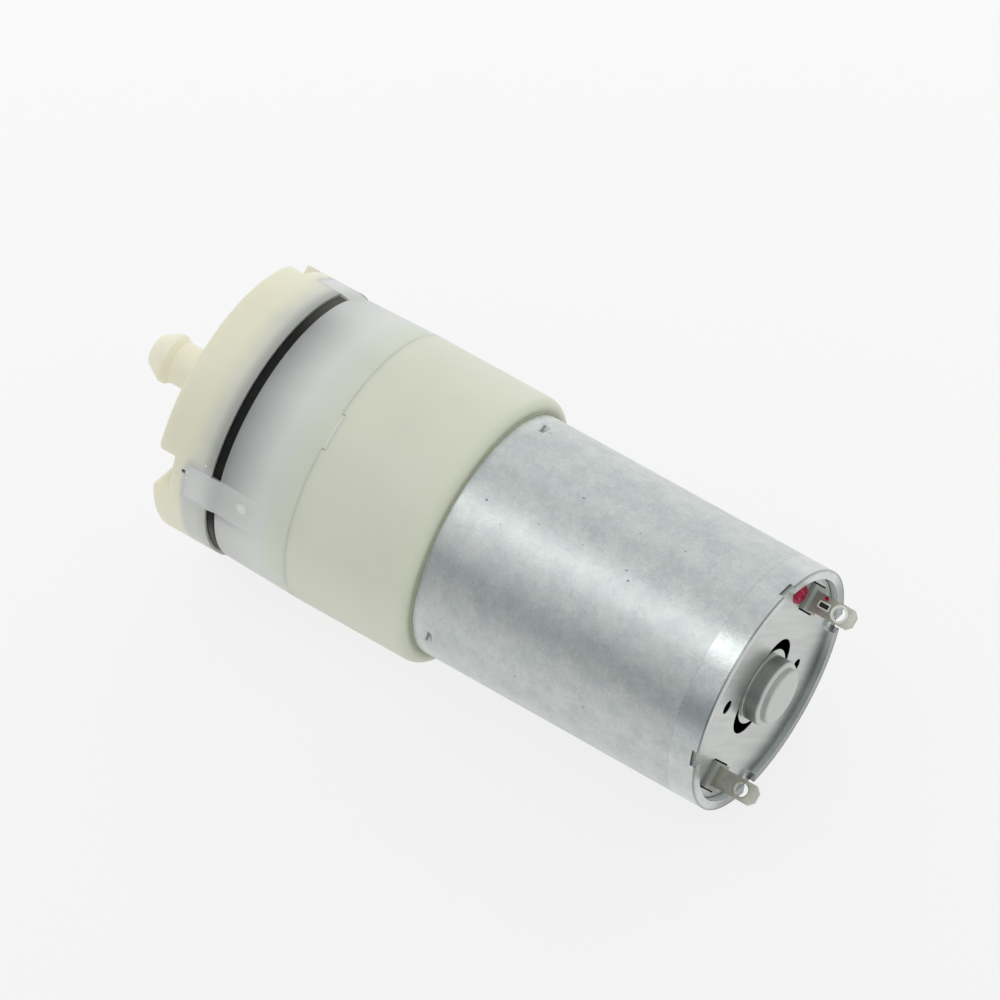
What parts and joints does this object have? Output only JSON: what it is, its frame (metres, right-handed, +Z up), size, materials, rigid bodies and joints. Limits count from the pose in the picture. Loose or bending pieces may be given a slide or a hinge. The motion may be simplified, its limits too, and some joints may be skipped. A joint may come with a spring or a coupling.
{
  "type": "mini air pump",
  "caption": "Small diaphragm air pump: round pump head with a central barbed outlet nozzle, screwed to a brushed can motor with two solder terminals.",
  "frame": {"origin": "on the motor axis, in the plane where the head ends and the bare motor can begins", "axes": "+X along the motor axis towards the solder terminals, the nozzle towards -X, +Z up as the pump lies"},
  "size_m": [0.071, 0.027, 0.027],
  "materials": {
    "cream_plastic": "cream moulded plastic with a soft gloss",
    "pale_plastic": "pale moulded plastic",
    "milky_plastic": "milky grey-white moulded plastic",
    "base_plastic": "greenish white moulded plastic",
    "grey_plastic": "grey moulded insulator",
    "brown_plastic": "phenolic moulding",
    "black_rubber": "matt black rubber",
    "valve_rubber": "thin soft rubber",
    "galvanised_steel": "bright galvanised drawn steel",
    "brushed_plate": "finely brushed bright plate",
    "plated_steel": "plated steel",
    "polished_steel": "ground steel",
    "lamination_steel": "stacked electrical sheet",
    "tinned_tag": "tinned sheet",
    "sintered_bronze": "sintered bronze",
    "spring_brass": "rolled spring sheet",
    "bare_copper": "turned copper",
    "enamelled_copper": "enamelled copper wire",
    "ferrite": "ground ferrite",
    "carbon": "pressed carbon"
  },
  "bodies": {
    "pump": {"head_cover": "cream_plastic", "outlet_valve": "valve_rubber", "valve_plate": "pale_plastic", "inlet_valves": "valve_rubber", "diaphragm": "black_rubber", "diaphragm_holder": "milky_plastic", "base_housing": "base_plastic", "motor_screws": "plated_steel", "motor_can": "galvanised_steel", "front_bearing": "sintered_bronze", "rear_bearing": "sintered_bronze", "magnet_left": "ferrite", "magnet_right": "ferrite", "magnet_clips": "plated_steel", "brush_base": "grey_plastic", "brush_arm_upper": "spring_brass", "brush_arm_lower": "spring_brass", "brush_upper": "carbon", "brush_lower": "carbon", "terminal_upper": "tinned_tag", "terminal_lower": "tinned_tag", "end_plate": "brushed_plate"},
    "rotor": {"shaft": "polished_steel", "shaft_spacers": "pale_plastic", "rotor_core": "lamination_steel", "winding_a": "enamelled_copper", "winding_b": "enamelled_copper", "winding_c": "enamelled_copper", "commutator_hub": "brown_plastic", "commutator_bars": "bare_copper", "eccentric_wheel": "milky_plastic", "drive_pin": "polished_steel"},
    "wobble": {"wobble_plate": "milky_plastic"}
  },
  "joints": [
    {"name": "rotor_spin", "type": "hinge", "parent": "pump", "child": "rotor", "pos_m": [0, 0, 0], "axis": [1, 0, 0], "continuous": true},
    {"name": "wobble_turn", "type": "hinge", "parent": "rotor", "child": "wobble", "pos_m": [-0.0152, 0, 0], "axis": [0.9903, 0.1338, -0.0384], "continuous": true, "deforming": ["diaphragm"]}
  ],
  "couplings": [
    {"joint": "wobble_turn", "follows": "rotor_spin", "ratio": -1}
  ]
}
